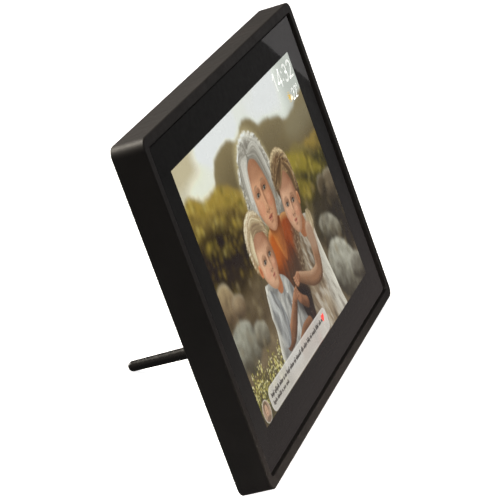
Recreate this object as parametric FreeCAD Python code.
import FreeCAD, Part
import math
import os

# A 10-inch smart display that leans back on one screw-in leg, in millimetres.
# Every piece is drawn upright: x to the right seen from the front, y from the rim face towards
# the back, z up from the bottom edge. place() then leans it back and puts the origin at the
# bottom centre of the whole object, standing on a table.

V = FreeCAD.Vector

# Picture and outer frame
ACTIVE_W = 216.96
ACTIVE_H = 135.60
FRAME_W = 267.4
FRAME_H = 182.1
FRAME_D = 17.5
CORNER_R = 5.5
FRONT_EDGE_R = 0.9
BACK_EDGE_R = 0.8
RIM = 5.5
RIM_CORNER_R = 2.0
RIM_EDGE_R = 0.3
WALL = 2.4
LEDGE_W = 6.5
LEDGE_Y = 2.65
LEDGE_BACK = 4.1

# Stance: the back-bottom edge stays this far above the table on its rubber feet
LEAN_DEG = 20.4
FOOT_LIFT = 0.3

# Glass and display stack, each as the y of its front face
GROOVE = 0.95
GLASS_Y = 1.25
GLASS_T = 0.8
MASK_T = 0.05
SENSOR_T = 0.3
CELL_Y = 2.45
CELL_GLASS_T = 0.6
FILMS_Y = 3.75
GUIDE_Y = 4.05
REFLECTOR_Y = 5.05
TRAY_INNER_Y = 5.25
TRAY_BACK_Y = 5.55
MODULE_W = 229.5
MODULE_H = 149.1
TRAY_WALL = 0.3
LED_COUNT = 27

# Rear cover
COVER_GAP = 0.15
COVER_Y = 15.5
COVER_BACK = 17.3
COVER_SCREW_INSET = 8.0
BOSS_D = 6.5
PILOT_D = 2.3
SCREW_D = 2.2
SCREW_HEAD_D = 4.4
SCREW_HEAD_H = 1.0

# Leg and its threaded inserts, an M6 thread with a 1 mm pitch drawn at its minor diameter
LEG_REACH = 91.0
LEG_ROOT_R = 4.0
LEG_TIP_R = 2.95
STUD_R = 2.45
STUD_ROOT_R = 2.05
THREAD_PITCH = 1.0
INSERT_R = 4.0
INSERT_BORE_R = 2.5
INSERT_LEN = 7.0
INSERT_BOSS_R = 6.0
WASHER_R = 5.6
WASHER_T = 1.0

# Main board and what is on it
BOARD_X = (-47.0, 45.0)
BOARD_Z = (86.0, 142.0)
BOARD_Y = 9.0
BOARD_T = 1.2
BOARD_HOLE_INSET = 3.5
WIRE_SOCKET_X = 34.0
WIRE_PITCH = 1.4
BAY_X = (-84.0, -49.0)
BAY_Z = (90.0, 134.0)
BAY_FLOOR = 8.3
BAY_WALL = 1.4
PORT_X = -48.8
INLET_Z = 99.5
CARD_Z = 118.5
BUTTON_X = 30.0
BUTTON_Z = 128.0
BUTTON_R = 4.5
BUTTON_PROUD = 0.6
SWITCH_H = 3.5
PLUNGER_TOP = 14.4

# Speaker
SPEAKER_X = 60.0
SPEAKER_Z = 45.0
SPEAKER_R = 14.0

LEAN = math.radians(LEAN_DEG)
MID_Z = FRAME_H / 2
BOARD_BACK = BOARD_Y + BOARD_T
CELL_TFT_Y = CELL_Y + CELL_GLASS_T
LEG_Z = (LEG_REACH * math.sin(LEAN) + LEG_TIP_R - FOOT_LIFT) / math.cos(LEAN)
LEG_TIP_Y = FRAME_D + LEG_REACH
PORTRAIT_X = FRAME_W / 2 - LEG_Z


def table_z(y):
    """Height of the table under the upright drawing, at depth y."""
    return ((y - FRAME_D) * math.sin(LEAN) - FOOT_LIFT) / math.cos(LEAN)


def box(x, y, z):
    """Block between the (low, high) pairs x, y and z."""
    return Part.makeBox(x[1] - x[0], y[1] - y[0], z[1] - z[0], V(x[0], y[0], z[0]))


def block(cx, cz, width, height, y0, y1):
    """Block centred on (cx, cz) in the face plane, from y0 to y1."""
    return box((cx - width / 2, cx + width / 2), (y0, y1), (cz - height / 2, cz + height / 2))


def plate(width, height, radius, y0, y1, cx=0.0, cz=MID_Z):
    """Plate with rounded corners, parallel to the face. A radius of half a side makes a slot."""
    edges = []
    corners = [(1, 1, 0), (-1, 1, 90), (-1, -1, 180), (1, -1, 270)]
    points = []
    for sx, sz, start in corners:
        centre = V(cx + sx * (width / 2 - radius), y0, cz + sz * (height / 2 - radius))
        arc = []
        for degrees in (start, start + 45, start + 90):
            angle = math.radians(degrees)
            arc.append(centre + V(radius * math.cos(angle), 0, radius * math.sin(angle)))
        points.append(arc)
    for i, arc in enumerate(points):
        edges.append(Part.Arc(*arc).toShape())
        following = points[(i + 1) % 4][0]
        if (following - arc[2]).Length > 1e-6:
            edges.append(Part.LineSegment(arc[2], following).toShape())
    return Part.Face(Part.Wire(edges)).extrude(V(0, y1 - y0, 0))


def ring(outer, inner, y0, y1):
    """Rectangular ring; outer and inner are (width, height, corner radius)."""
    return plate(*outer, y0, y1).cut(plate(*inner, y0 - 1, y1 + 1))


def disc(x, z, radius, y0, y1):
    """Cylinder along y."""
    return Part.makeCylinder(radius, y1 - y0, V(x, y0, z), V(0, 1, 0))


def turned(profile, x, z):
    """Solid of revolution about a line along y; profile is a closed list of (radius, y)."""
    points = [V(r, y, 0) for r, y in profile]
    face = Part.Face(Part.makePolygon(points + points[:1]))
    solid = face.revolve(V(0, 0, 0), V(0, 1, 0), 360)
    solid.translate(V(x, 0, z))
    return solid


def strip(route, thickness, x0, x1):
    """Flat ribbon whose centre line follows the (y, z) points of route, from x0 to x1."""
    left = []
    right = []
    last = len(route) - 1
    for i, (y, z) in enumerate(route):
        before = V(*route[max(i - 1, 0)], 0)
        after = V(*route[min(i + 1, last)], 0)
        here = V(y, z, 0)
        into = (here - before) if i > 0 else (after - here)
        out = (after - here) if i < last else (here - before)
        into.normalize()
        out.normalize()
        normal_in = V(-into.y, into.x, 0)
        normal_out = V(-out.y, out.x, 0)
        mitre = normal_in + normal_out
        mitre.normalize()
        reach = thickness / 2 / mitre.dot(normal_in)
        left.append(V(x0, y + mitre.x * reach, z + mitre.y * reach))
        right.append(V(x0, y - mitre.x * reach, z - mitre.y * reach))
    outline = left + right[::-1]
    face = Part.Face(Part.makePolygon(outline + outline[:1]))
    return face.extrude(V(x1 - x0, 0, 0))


def wire_path(points):
    """Straight runs joined by tangent arcs; also gives the arcs' radii."""
    edges = []
    radii = []
    start = points[0]
    for before, here, after in zip(points, points[1:], points[2:]):
        into = here - before
        out = after - here
        reach = 0.45 * min(into.Length, out.Length)
        into.normalize()
        out.normalize()
        half_turn = into.getAngle(out) / 2
        radius = reach / math.tan(half_turn)
        inward = out - into
        inward.normalize()
        begin = here - into * reach
        end = here + out * reach
        middle = here + inward * (radius / math.cos(half_turn) - radius)
        edges.append(Part.LineSegment(start, begin).toShape())
        edges.append(Part.Arc(begin, middle, end).toShape())
        radii.append(radius)
        start = end
    edges.append(Part.LineSegment(start, points[-1]).toShape())
    return Part.Wire(edges), radii


def tube(points, diameter):
    """Round wire along straight runs and tangent arcs."""
    path, radii = wire_path(points)
    circle = Part.makeCircle(diameter / 2, points[0], points[1] - points[0])
    solid = path.makePipeShell([Part.Wire(circle)], True, True)
    expected = math.pi * diameter**2 / 4 * path.Length
    print("wire bends", [round(r, 1) for r in radii], "volume ratio", solid.Volume / expected)
    return solid


def rim_edges(shape, y, half_w, half_h):
    """Edges lying in the plane y and no further out than half_w and half_h from the middle."""
    found = []
    for edge in shape.Edges:
        b = edge.BoundBox
        flat = abs(b.YMin - y) < 0.01 and abs(b.YMax - y) < 0.01
        inside = max(-b.XMin, b.XMax) < half_w and max(MID_Z - b.ZMin, b.ZMax - MID_Z) < half_h
        if flat and inside:
            found.append(edge)
    return found


def edges_at(shape, y):
    """Edges lying in the plane y."""
    return rim_edges(shape, y, FRAME_W, FRAME_H)


def cross_recess(x, z, y0, y1):
    """Tool for the cross cut into a screw head."""
    return block(x, z, 2.4, 0.6, y0, y1).fuse(block(x, z, 0.6, 2.4, y0, y1))


def screw(x, z, seat, length, towards):
    """Pan-head screw whose head sits on the plane y=seat; towards is the way its point faces."""
    head_end = seat - towards * SCREW_HEAD_H
    tip = seat + towards * length
    head = disc(x, z, SCREW_HEAD_D / 2, min(seat, head_end), max(seat, head_end))
    head = head.makeFillet(0.35, edges_at(head, head_end))
    shank = disc(x, z, SCREW_D / 2, min(seat, tip), max(seat, tip))
    recess_end = head_end + towards * 0.6
    recess = cross_recess(x, z, min(head_end, recess_end), max(head_end, recess_end))
    return head.fuse(shank).removeSplitter().cut(recess)


def cover_screw_places():
    """Four corners and the middles of the long and short sides."""
    half_w = FRAME_W / 2 - COVER_SCREW_INSET
    low = COVER_SCREW_INSET
    high = FRAME_H - COVER_SCREW_INSET
    corners = [(sx * half_w, z) for sx in (-1, 1) for z in (low, MID_Z, high)]
    return corners + [(0.0, high), (-62.0, low), (62.0, low)]


def bracket_places():
    """Screw places of the four clips that hold the display, as (side, x, z)."""
    x = FRAME_W / 2 - RIM - 3.6
    return [(s, s * x, z) for s in (-1, 1) for z in (50.0, FRAME_H - 50.0)]


def board_hole_places():
    xs = (BOARD_X[0] + BOARD_HOLE_INSET, BOARD_X[1] - BOARD_HOLE_INSET)
    zs = (BOARD_Z[0] + BOARD_HOLE_INSET, BOARD_Z[1] - BOARD_HOLE_INSET)
    return [(x, z) for x in xs for z in zs]


def foot_places():
    return (-88.0, 88.0)


def front_frame():
    """Moulded frame: rim, groove and glass ledge in front, deep side walls, screw bosses."""
    body = plate(FRAME_W, FRAME_H, CORNER_R, 0, FRAME_D)
    body = body.makeFillet(FRONT_EDGE_R, edges_at(body, 0))
    body = body.makeFillet(BACK_EDGE_R, edges_at(body, FRAME_D))
    inner_w = FRAME_W - 2 * RIM
    inner_h = FRAME_H - 2 * RIM
    body = body.cut(plate(inner_w, inner_h, RIM_CORNER_R, -1, LEDGE_Y))
    open_w = inner_w - 2 * LEDGE_W
    open_h = inner_h - 2 * LEDGE_W
    body = body.cut(plate(open_w, open_h, RIM_CORNER_R, 0, LEDGE_BACK + 1))
    cavity = plate(FRAME_W - 2 * WALL, FRAME_H - 2 * WALL, CORNER_R - WALL, LEDGE_BACK, FRAME_D + 1)
    body = body.cut(cavity)
    lip = rim_edges(body, 0, inner_w / 2 + 0.1, inner_h / 2 + 0.1)
    body = body.makeFillet(RIM_EDGE_R, lip)
    for x, z in cover_screw_places():
        body = body.fuse(disc(x, z, BOSS_D / 2, LEDGE_BACK, COVER_Y))
        body = body.cut(disc(x, z, PILOT_D / 2, LEDGE_BACK + 2, COVER_Y + 1))
    for side, x, z in bracket_places():
        body = body.fuse(disc(x, z, 2.6, LEDGE_BACK, TRAY_BACK_Y))
        body = body.cut(disc(x, z, PILOT_D / 2, LEDGE_BACK - 1, TRAY_BACK_Y + 1))
    for x in foot_places():
        body = body.cut(foot_block(x, 0.1))
    return body.removeSplitter()


def foot_block(x, gap):
    """Block of a rubber foot above its sole, let 1 mm into the bottom wall."""
    return box((x - 18 - gap, x + 18 + gap), (13.0 - gap, 16.6 + gap), (-4.0, 1.0))


def rubber_feet():
    """Two strips whose soles lie flat on the table when the frame leans back."""
    feet = []
    for x in foot_places():
        foot = foot_block(x, 0.0)
        upright = [e for e in foot.Edges if e.BoundBox.ZLength > 4]
        foot = foot.makeFillet(1.2, upright)
        section = ((0, table_z(0)), (30, table_z(30)), (30, -20), (0, -20))
        under = [V(x - 25, y, z) for y, z in section]
        below_table = Part.Face(Part.makePolygon(under + under[:1])).extrude(V(50, 0, 0))
        feet.append(foot.cut(below_table))
    return Part.Compound(feet)


def cover_glass():
    """Toughened glass with a fine ground edge."""
    width = FRAME_W - 2 * (RIM + GROOVE)
    height = FRAME_H - 2 * (RIM + GROOVE)
    glass = plate(width, height, 1.5, GLASS_Y, GLASS_Y + GLASS_T)
    return glass.makeChamfer(0.15, edges_at(glass, GLASS_Y))


def glass_mask():
    """Black printed border on the back of the glass."""
    width = FRAME_W - 2 * (RIM + GROOVE) - 0.4
    height = FRAME_H - 2 * (RIM + GROOVE) - 0.4
    back = GLASS_Y + GLASS_T
    return ring((width, height, 1.3), (ACTIVE_W, ACTIVE_H, 0.3), back, back + MASK_T)


def touch_sensor():
    front = GLASS_Y + GLASS_T + MASK_T
    return plate(242.0, 157.0, 1.5, front, front + SENSOR_T)


def glass_tape():
    """Foam tape between the glass border and the ledge of the frame."""
    front = GLASS_Y + GLASS_T + MASK_T
    return ring((253.6, 168.3, 1.2), (244.0, 158.9, 1.2), front, LEDGE_Y)


def lcd_cell():
    """Colour-filter glass in front and transistor glass behind, which is longer at the bottom."""
    low = MID_Z - MODULE_H / 2
    high = MID_Z + MODULE_H / 2
    half = MODULE_W / 2
    front = box((-half, half), (CELL_Y, CELL_TFT_Y), (low + 4.0, high))
    back = box((-half, half), (CELL_TFT_Y, CELL_TFT_Y + CELL_GLASS_T), (low, high))
    return Part.Compound([front, back])


def optical_films():
    return plate(MODULE_W - 1, MODULE_H - 1, 0.8, FILMS_Y, GUIDE_Y)


def light_guide():
    """Clear plate lit from its bottom edge."""
    low = MID_Z - MODULE_H / 2 + 3.5
    high = MID_Z + MODULE_H / 2 - 0.5
    half = MODULE_W / 2 - 0.5
    return box((-half, half), (GUIDE_Y, REFLECTOR_Y), (low, high))


def reflector_sheet():
    return plate(MODULE_W - 1, MODULE_H - 1, 0.8, REFLECTOR_Y, TRAY_INNER_Y)


def led_strip():
    """Flexible strip with a row of side-firing lamps, between the tray wall and the guide."""
    low = MID_Z - MODULE_H / 2 + 0.4
    parts = [box((-108, 108), (GUIDE_Y + 0.05, REFLECTOR_Y - 0.05), (low, low + 0.5))]
    pitch = 8.0
    for i in range(LED_COUNT):
        x = (i - (LED_COUNT - 1) / 2) * pitch
        lamp_y = (GUIDE_Y + 0.1, REFLECTOR_Y - 0.1)
        parts.append(box((x - 1.9, x + 1.9), lamp_y, (low + 0.5, low + 2.4)))
    return Part.Compound(parts)


def lcd_back_tray():
    """Pressed steel tray behind the light guide."""
    outer = plate(MODULE_W, MODULE_H, 1.0, FILMS_Y, TRAY_BACK_Y)
    inner = plate(MODULE_W - 2 * TRAY_WALL, MODULE_H - 2 * TRAY_WALL, 0.7, FILMS_Y - 1, TRAY_INNER_Y)
    return outer.cut(inner)


def panel_brackets():
    """Four steel clips from the frame's bosses onto the back of the tray."""
    clips = []
    for side, x, z in bracket_places():
        outer = side * (FRAME_W / 2 - WALL - 2.4)
        inner = side * (MODULE_W / 2 - 8)
        width = abs(outer - inner)
        clip = plate(width, 12, 1.5, TRAY_BACK_Y, TRAY_BACK_Y + 0.8, (outer + inner) / 2, z)
        clips.append(clip.cut(disc(x, z, 1.4, TRAY_BACK_Y - 1, TRAY_BACK_Y + 2)))
    return Part.Compound(clips)


def bracket_screws():
    seat = TRAY_BACK_Y + 0.8
    return Part.Compound([screw(x, z, seat, 2.6, -1) for side, x, z in bracket_places()])


def connector(cx, width, height):
    """Ribbon connector at the board's bottom edge, open downwards."""
    z0 = BOARD_Z[0] + 1.0
    body = block(cx, z0 + 2.5, width, 5.0, BOARD_BACK, BOARD_BACK + height)
    slot = block(cx, z0 + 1.5, width - 1.6, 3.2, BOARD_BACK + 0.1, BOARD_BACK + 0.45)
    return body.cut(slot)


def board_connectors():
    """Sockets for the display ribbon, the touch ribbon and the speaker wires."""
    wires = block(WIRE_SOCKET_X, BOARD_Z[0] + 3.5, 6.0, 5.0, BOARD_BACK, BOARD_BACK + 2.6)
    for side in (-0.5, 0.5):
        mouth = V(WIRE_SOCKET_X + side * WIRE_PITCH, BOARD_BACK + 1.3, BOARD_Z[0] + 1)
        wires = wires.cut(Part.makeCylinder(0.55, 3, mouth, V(0, 0, 1)))
    return Part.Compound([connector(-1.0, 24.0, 1.6), connector(20.0, 10.0, 1.6), wires])


def display_ribbon():
    """Wraps from the bottom edge of the cell round the tray and up to the board."""
    low = MID_Z - MODULE_H / 2
    back = TRAY_BACK_Y + 0.25
    run = BOARD_BACK + 0.28
    route = [
        (CELL_TFT_Y - 0.12, low + 3.0),
        (CELL_TFT_Y - 0.12, low - 1.3),
        (back, low - 1.3),
        (back, BOARD_Z[0] - 10),
        (run, BOARD_Z[0] - 3),
        (run, BOARD_Z[0] + 3.8),
    ]
    return strip(route, 0.2, -12, 10)


def touch_ribbon():
    """From the bottom border of the touch sensor to the board."""
    front = GLASS_Y + GLASS_T + MASK_T + SENSOR_T + 0.11
    run = BOARD_BACK + 0.28
    route = [
        (front, 16.0),
        (front, 13.8),
        (6.9, 13.8),
        (6.9, BOARD_Z[0] - 8),
        (run, BOARD_Z[0] - 3),
        (run, BOARD_Z[0] + 3.8),
    ]
    return strip(route, 0.2, 16, 24)


def main_board():
    cx = sum(BOARD_X) / 2
    cz = sum(BOARD_Z) / 2
    width = BOARD_X[1] - BOARD_X[0]
    height = BOARD_Z[1] - BOARD_Z[0]
    board = plate(width, height, 1.5, BOARD_Y, BOARD_BACK, cx, cz)
    for x, z in board_hole_places():
        board = board.cut(disc(x, z, 1.3, BOARD_Y - 1, BOARD_BACK + 1))
    return board


def board_screws():
    return Part.Compound([screw(x, z, BOARD_Y, 5.0, 1) for x, z in board_hole_places()])


def chip(cx, cz, width, height, thickness):
    """Moulded package with a chamfered top edge."""
    top = BOARD_BACK + thickness
    body = block(cx, cz, width, height, BOARD_BACK, top)
    return body.makeChamfer(0.15, edges_at(body, top))


def processor_chip():
    return chip(8, 112, 14, 14, 1.2)


def thermal_pad():
    return block(8, 112, 13, 13, BOARD_BACK + 1.2, BOARD_BACK + 2.0)


def heat_spreader():
    """Aluminium plate with low fins."""
    base = block(8, 112, 26, 26, BOARD_BACK + 2.0, BOARD_BACK + 2.8)
    for i in range(7):
        base = base.fuse(block(8 - 12 + 4 * i, 112, 1.2, 26, BOARD_BACK + 2.8, BOARD_BACK + 4.0))
    return base.removeSplitter()


def memory_chips():
    return Part.Compound([chip(-14, z, 10, 12, 1.0) for z in (103, 118)])


def wifi_module():
    """Small board with a pressed metal can."""
    base = block(33, 108, 12, 12, BOARD_BACK, BOARD_BACK + 0.6)
    can = block(33, 108.8, 10.6, 9.6, BOARD_BACK + 0.6, BOARD_BACK + 2.2)
    can = can.makeChamfer(0.3, edges_at(can, BOARD_BACK + 2.2))
    return base.fuse(can).removeSplitter()


def chip_antenna():
    return block(41.5, 98, 2.0, 7.0, BOARD_BACK, BOARD_BACK + 1.2)


def power_inductors():
    return Part.Compound([chip(x, 94, 5, 5, 2.5) for x in (-34, -27.5, -21)])


def capacitors():
    """A row of ceramic blocks and two cans."""
    parts = [block(-18 + 5.5 * i, 133, 1.6, 3.2, BOARD_BACK, BOARD_BACK + 1.6) for i in range(7)]
    for x in (-33, -26):
        parts.append(disc(x, 136, 2.5, BOARD_BACK, BOARD_BACK + 4.0))
    return Part.Compound(parts)


def inlet_outline(width, height, radius, x0, x1):
    """Rounded bar along x, at the power inlet."""
    y = BOARD_BACK + 0.05 + 1.63
    bar = box((x0, x1), (y - height / 2, y + height / 2), (INLET_Z - width / 2, INLET_Z + width / 2))
    return bar.makeFillet(radius, [e for e in bar.Edges if e.BoundBox.XLength > (x1 - x0) * 0.9])


def power_inlet_shell():
    """Pressed steel shell of a reversible 24-contact socket."""
    outer = inlet_outline(8.94, 3.26, 1.55, PORT_X, PORT_X + 7.3)
    return outer.cut(inlet_outline(8.34, 2.66, 1.25, PORT_X - 1, PORT_X + 7.0))


def power_inlet_tongue():
    """Contact tongue and the moulded block that carries it."""
    tongue = inlet_outline(6.69, 0.7, 0.2, PORT_X + 1.2, PORT_X + 6.2)
    carrier = inlet_outline(8.3, 2.62, 1.2, PORT_X + 6.0, PORT_X + 7.0)
    return tongue.fuse(carrier).removeSplitter()


def card_socket():
    """Shell of a full-size memory card socket, open towards the port bay."""
    y0 = BOARD_BACK + 0.05
    outer = box((PORT_X, PORT_X + 26), (y0, y0 + 2.8), (CARD_Z - 12.9, CARD_Z + 12.9))
    inner = box((PORT_X - 1, PORT_X + 25.6), (y0 + 0.25, y0 + 2.55), (CARD_Z - 12.2, CARD_Z + 12.2))
    return outer.cut(inner)


def power_switch():
    """Tactile switch body with the well its plunger moves in."""
    body = block(BUTTON_X, BUTTON_Z, 6, 6, BOARD_BACK, BOARD_BACK + SWITCH_H)
    body = body.makeChamfer(0.3, edges_at(body, BOARD_BACK + SWITCH_H))
    return body.cut(disc(BUTTON_X, BUTTON_Z, 1.8, BOARD_BACK + 1.2, BOARD_BACK + SWITCH_H + 1))


def power_switch_plunger():
    return disc(BUTTON_X, BUTTON_Z, 1.7, PLUNGER_TOP - 2.2, PLUNGER_TOP)


def power_button():
    """Round cap with a retaining flange behind the cover and a shallow finger dish."""
    top = COVER_BACK + BUTTON_PROUD
    cap = disc(BUTTON_X, BUTTON_Z, BUTTON_R, PLUNGER_TOP, top)
    cap = cap.makeFillet(0.45, edges_at(cap, top))
    cap = cap.fuse(disc(BUTTON_X, BUTTON_Z, BUTTON_R + 1.4, PLUNGER_TOP + 0.3, COVER_Y - 0.1))
    dish_r = 22.0
    dish = Part.makeSphere(dish_r, V(BUTTON_X, top + dish_r - 0.3, BUTTON_Z))
    return cap.removeSplitter().cut(dish)


def speaker_frame():
    """Basket and magnet cup, firing backwards."""
    profile = [(0, 9.0), (8.5, 9.0), (8.5, 11.2), (13.2, 12.9), (SPEAKER_R, 12.9), (SPEAKER_R, 14.5),
               (12.6, 14.5), (12.6, 13.6), (7.2, 11.8), (7.2, 10.2), (0, 10.2)]
    return turned(profile, SPEAKER_X, SPEAKER_Z)


def speaker_cone():
    """Cone with its rolled surround and dust cap."""
    upper = [(12.5, 13.95), (11.9, 14.3), (11.2, 13.95), (4.5, 12.7), (2.5, 13.2), (0, 13.4)]
    lower = [(r, y - 0.25) for r, y in reversed(upper)]
    return turned(upper + lower, SPEAKER_X, SPEAKER_Z)


def speaker_gasket():
    outer = disc(SPEAKER_X, SPEAKER_Z, SPEAKER_R, 14.5, COVER_Y)
    return outer.cut(disc(SPEAKER_X, SPEAKER_Z, 12.8, 14, COVER_Y + 1))


def speaker_wires():
    """Two thin wires from the speaker's magnet cup to the board."""
    low_y = 10.3
    high_y = BOARD_BACK + 1.3
    wires = []
    for side in (-0.5, 0.5):
        plug_x = WIRE_SOCKET_X + side * WIRE_PITCH
        cup_x = SPEAKER_X + side * WIRE_PITCH
        points = [
            V(cup_x, low_y, SPEAKER_Z + 8.6),
            V(cup_x, low_y, SPEAKER_Z + 18),
            V(cup_x - 8, low_y + 0.4, SPEAKER_Z + 25),
            V(plug_x + 2, high_y, BOARD_Z[0] - 9),
            V(plug_x, high_y, BOARD_Z[0] - 4),
            V(plug_x, high_y, BOARD_Z[0] + 3.5),
        ]
        wires.append(tube(points, 1.0))
    return Part.Compound(wires)


def vent_tools():
    """Row of upright slots near the top edge."""
    return [plate(1.8, 15, 0.9, COVER_Y - 1, COVER_BACK + 1, 4.6 * (i - 9), 157.0) for i in range(19)]


def speaker_hole_tools():
    """Round holes on a triangular grid inside the speaker's circle."""
    pitch = 3.0
    holes = []
    for row in range(-4, 5):
        for column in range(-5, 6):
            dx = (column + 0.5 * (row % 2)) * pitch
            dz = row * pitch * math.sqrt(3) / 2
            if math.hypot(dx, dz) < 10.8:
                holes.append(disc(SPEAKER_X + dx, SPEAKER_Z + dz, 0.85, COVER_Y - 1, COVER_BACK + 1))
    return holes


def keyhole_tool(x, z):
    """Round entry for a screw head with a narrower slot above it."""
    entry = disc(x, z, 4.5, COVER_Y - 1, COVER_BACK + 1)
    return entry.fuse(plate(4.6, 14, 2.3, COVER_Y - 1, COVER_BACK + 1, x, z + 4.7))


def keyhole_places():
    return [(-75.0, 148.0), (75.0, 148.0)]


def rear_cover():
    """Cover set inside the frame's walls, with its port bay, posts, ribs and openings."""
    clear = 2 * (WALL + COVER_GAP)
    cover = plate(FRAME_W - clear, FRAME_H - clear, CORNER_R - WALL - COVER_GAP, COVER_Y, COVER_BACK)
    cover = cover.makeFillet(0.4, edges_at(cover, COVER_BACK))
    bay_mid_x = sum(BAY_X) / 2
    bay_mid_z = sum(BAY_Z) / 2
    bay_w = BAY_X[1] - BAY_X[0]
    bay_h = BAY_Z[1] - BAY_Z[0]
    bay_outer = (bay_w + 2 * BAY_WALL, bay_h + 2 * BAY_WALL, 3.4)
    added = [plate(*bay_outer, BAY_FLOOR - 1.2, COVER_Y, bay_mid_x, bay_mid_z)]
    for x, z in ((0.0, LEG_Z), (PORTRAIT_X, MID_Z)):
        added.append(disc(x, z, INSERT_BOSS_R, COVER_BACK - INSERT_LEN - 1.2, COVER_Y))
    for x, z in board_hole_places():
        added.append(disc(x, z, 2.75, BOARD_BACK, COVER_Y))
    ring_rib = disc(SPEAKER_X, SPEAKER_Z, SPEAKER_R + 1.7, 11.5, COVER_Y)
    added.append(ring_rib.cut(disc(SPEAKER_X, SPEAKER_Z, SPEAKER_R + 0.3, 11, COVER_Y)))
    for z in (72.0, 145.0):
        added.append(box((-62, 62) if z > 100 else (-112, 112), (14.0, COVER_Y), (z - 0.6, z + 0.6)))
    for x in (-104.0, 84.0):
        added.append(box((x - 0.6, x + 0.6), (14.0, COVER_Y), (18, 164)))
    for piece in added:
        cover = cover.fuse(piece)
    cover = cover.removeSplitter()
    removed = [plate(bay_w, bay_h, 2.0, BAY_FLOOR, COVER_BACK + 1, bay_mid_x, bay_mid_z)]
    removed.append(inlet_outline(9.6, 3.8, 1.8, BAY_X[1] - 1, PORT_X + 3))
    card_y = BOARD_BACK + 0.05
    card_z = (CARD_Z - 13.2, CARD_Z + 13.2)
    removed.append(box((BAY_X[1] - 1, PORT_X + 3), (card_y - 0.3, card_y + 3.1), card_z))
    for x, z in ((0.0, LEG_Z), (PORTRAIT_X, MID_Z)):
        removed.append(disc(x, z, INSERT_R, COVER_BACK - INSERT_LEN, COVER_BACK + 1))
    for x, z in board_hole_places():
        removed.append(disc(x, z, PILOT_D / 2, BOARD_BACK - 1, COVER_Y - 0.6))
    for x, z in cover_screw_places():
        removed.append(disc(x, z, 1.4, COVER_Y - 1, COVER_BACK + 1))
        removed.append(disc(x, z, 2.5, COVER_BACK - 1.1, COVER_BACK + 1))
    removed.append(disc(BUTTON_X, BUTTON_Z, BUTTON_R + 0.25, COVER_Y - 1, COVER_BACK + 1))
    removed += [keyhole_tool(x, z) for x, z in keyhole_places()]
    removed += vent_tools() + speaker_hole_tools()
    return cover.cut(removed)


def cover_screws():
    seat = COVER_BACK - 1.1
    return Part.Compound([screw(x, z, seat, 8.0, -1) for x, z in cover_screw_places()])


def threaded_insert(x, z):
    """Brass insert with knurled bands, open at both ends."""
    body = disc(x, z, INSERT_R, COVER_BACK - INSERT_LEN, COVER_BACK)
    for y in (COVER_BACK - 4.4, COVER_BACK - 1.9):
        waist = disc(x, z, INSERT_R + 1, y, y + 0.8).cut(disc(x, z, INSERT_R - 0.4, y - 1, y + 2))
        body = body.cut(waist)
    return body.cut(disc(x, z, INSERT_BORE_R, COVER_BACK - INSERT_LEN - 1, COVER_BACK + 1))


def leg_insert_landscape():
    return threaded_insert(0.0, LEG_Z)


def leg_insert_portrait():
    return threaded_insert(PORTRAIT_X, MID_Z)


def leg_washer():
    """Rubber washer between the leg's shoulder and the cover."""
    outer = disc(0, LEG_Z, WASHER_R, COVER_BACK, COVER_BACK + WASHER_T)
    return outer.cut(disc(0, LEG_Z, STUD_R + 0.1, COVER_BACK - 1, COVER_BACK + 3))


def leg_stud():
    """Threaded stud, its thread drawn as rings at the pitch, moulded into the leg."""
    shoulder = COVER_BACK + WASHER_T
    start = COVER_BACK - INSERT_LEN + 1.0
    profile = [(0, start), (STUD_ROOT_R, start)]
    y = start
    while y < shoulder - THREAD_PITCH / 2:
        profile.append((STUD_R, y + THREAD_PITCH * 0.4))
        profile.append((STUD_R, y + THREAD_PITCH * 0.6))
        y += THREAD_PITCH
        profile.append((STUD_ROOT_R, y))
    profile += [(STUD_ROOT_R, shoulder + 8), (0, shoulder + 8)]
    return turned(profile, 0, LEG_Z)


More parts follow.
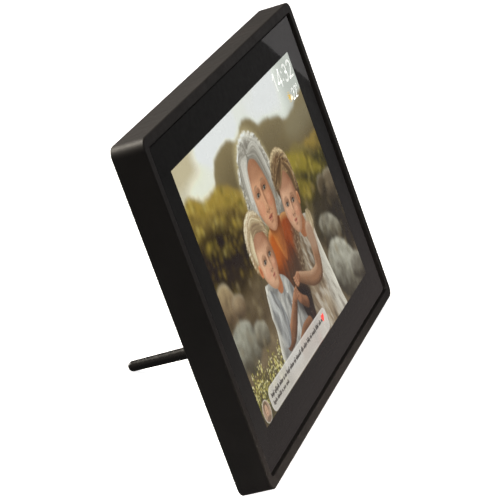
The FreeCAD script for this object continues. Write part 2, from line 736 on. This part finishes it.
def leg_rod():
    """Tapered round rod with a ball end."""
    shoulder = COVER_BACK + WASHER_T
    ball_end = LEG_TIP_Y + LEG_TIP_R
    bevel = 0.4
    side = LEG_TIP_R * math.sqrt(0.5)
    outline = [
        Part.LineSegment(V(0, shoulder, 0), V(LEG_ROOT_R - bevel, shoulder, 0)),
        Part.LineSegment(V(LEG_ROOT_R - bevel, shoulder, 0), V(LEG_ROOT_R, shoulder + bevel, 0)),
        Part.LineSegment(V(LEG_ROOT_R, shoulder + bevel, 0), V(LEG_TIP_R, LEG_TIP_Y, 0)),
        Part.Arc(V(LEG_TIP_R, LEG_TIP_Y, 0), V(side, LEG_TIP_Y + side, 0), V(0, ball_end, 0)),
        Part.LineSegment(V(0, ball_end, 0), V(0, shoulder, 0)),
    ]
    face = Part.Face(Part.Wire([piece.toShape() for piece in outline]))
    rod = face.revolve(V(0, 0, 0), V(0, 1, 0), 360)
    rod.translate(V(0, 0, LEG_Z))
    return rod.cut(disc(0, LEG_Z, STUD_ROOT_R, shoulder - 1, shoulder + 8))


def place(shape):
    """Leans a piece back and puts the origin at the object's bottom centre."""
    moved = shape.copy()
    moved.rotate(V(0, 0, 0), V(1, 0, 0), -LEAN_DEG)
    front = FRONT_EDGE_R * (math.cos(LEAN) + math.sin(LEAN) - 1)
    back = LEG_TIP_Y * math.cos(LEAN) + LEG_Z * math.sin(LEAN) + LEG_TIP_R
    lift = FRAME_D * math.sin(LEAN) + FOOT_LIFT
    moved.translate(V(0, -(front + back) / 2, lift))
    return moved


PIECES = [
    front_frame, rubber_feet, cover_glass, glass_mask, touch_sensor, glass_tape,
    lcd_cell, optical_films, light_guide, reflector_sheet, led_strip, lcd_back_tray,
    panel_brackets, bracket_screws, display_ribbon, touch_ribbon,
    main_board, board_screws, board_connectors, processor_chip, thermal_pad, heat_spreader,
    memory_chips, wifi_module, chip_antenna, power_inductors, capacitors,
    power_inlet_shell, power_inlet_tongue, card_socket, power_switch,
    speaker_frame, speaker_cone, speaker_gasket, speaker_wires,
    rear_cover, cover_screws, leg_insert_landscape, leg_insert_portrait,
    power_switch_plunger, power_button, leg_washer, leg_stud, leg_rod,
]

os.makedirs("parts", exist_ok=True)
for make in PIECES:
    name = make.__name__
    piece = place(make())
    if not piece.isValid():
        print("not valid:", name)
    print(name, len(piece.Solids), round(piece.Volume, 1))
    piece.exportStep("parts/" + name + ".step")
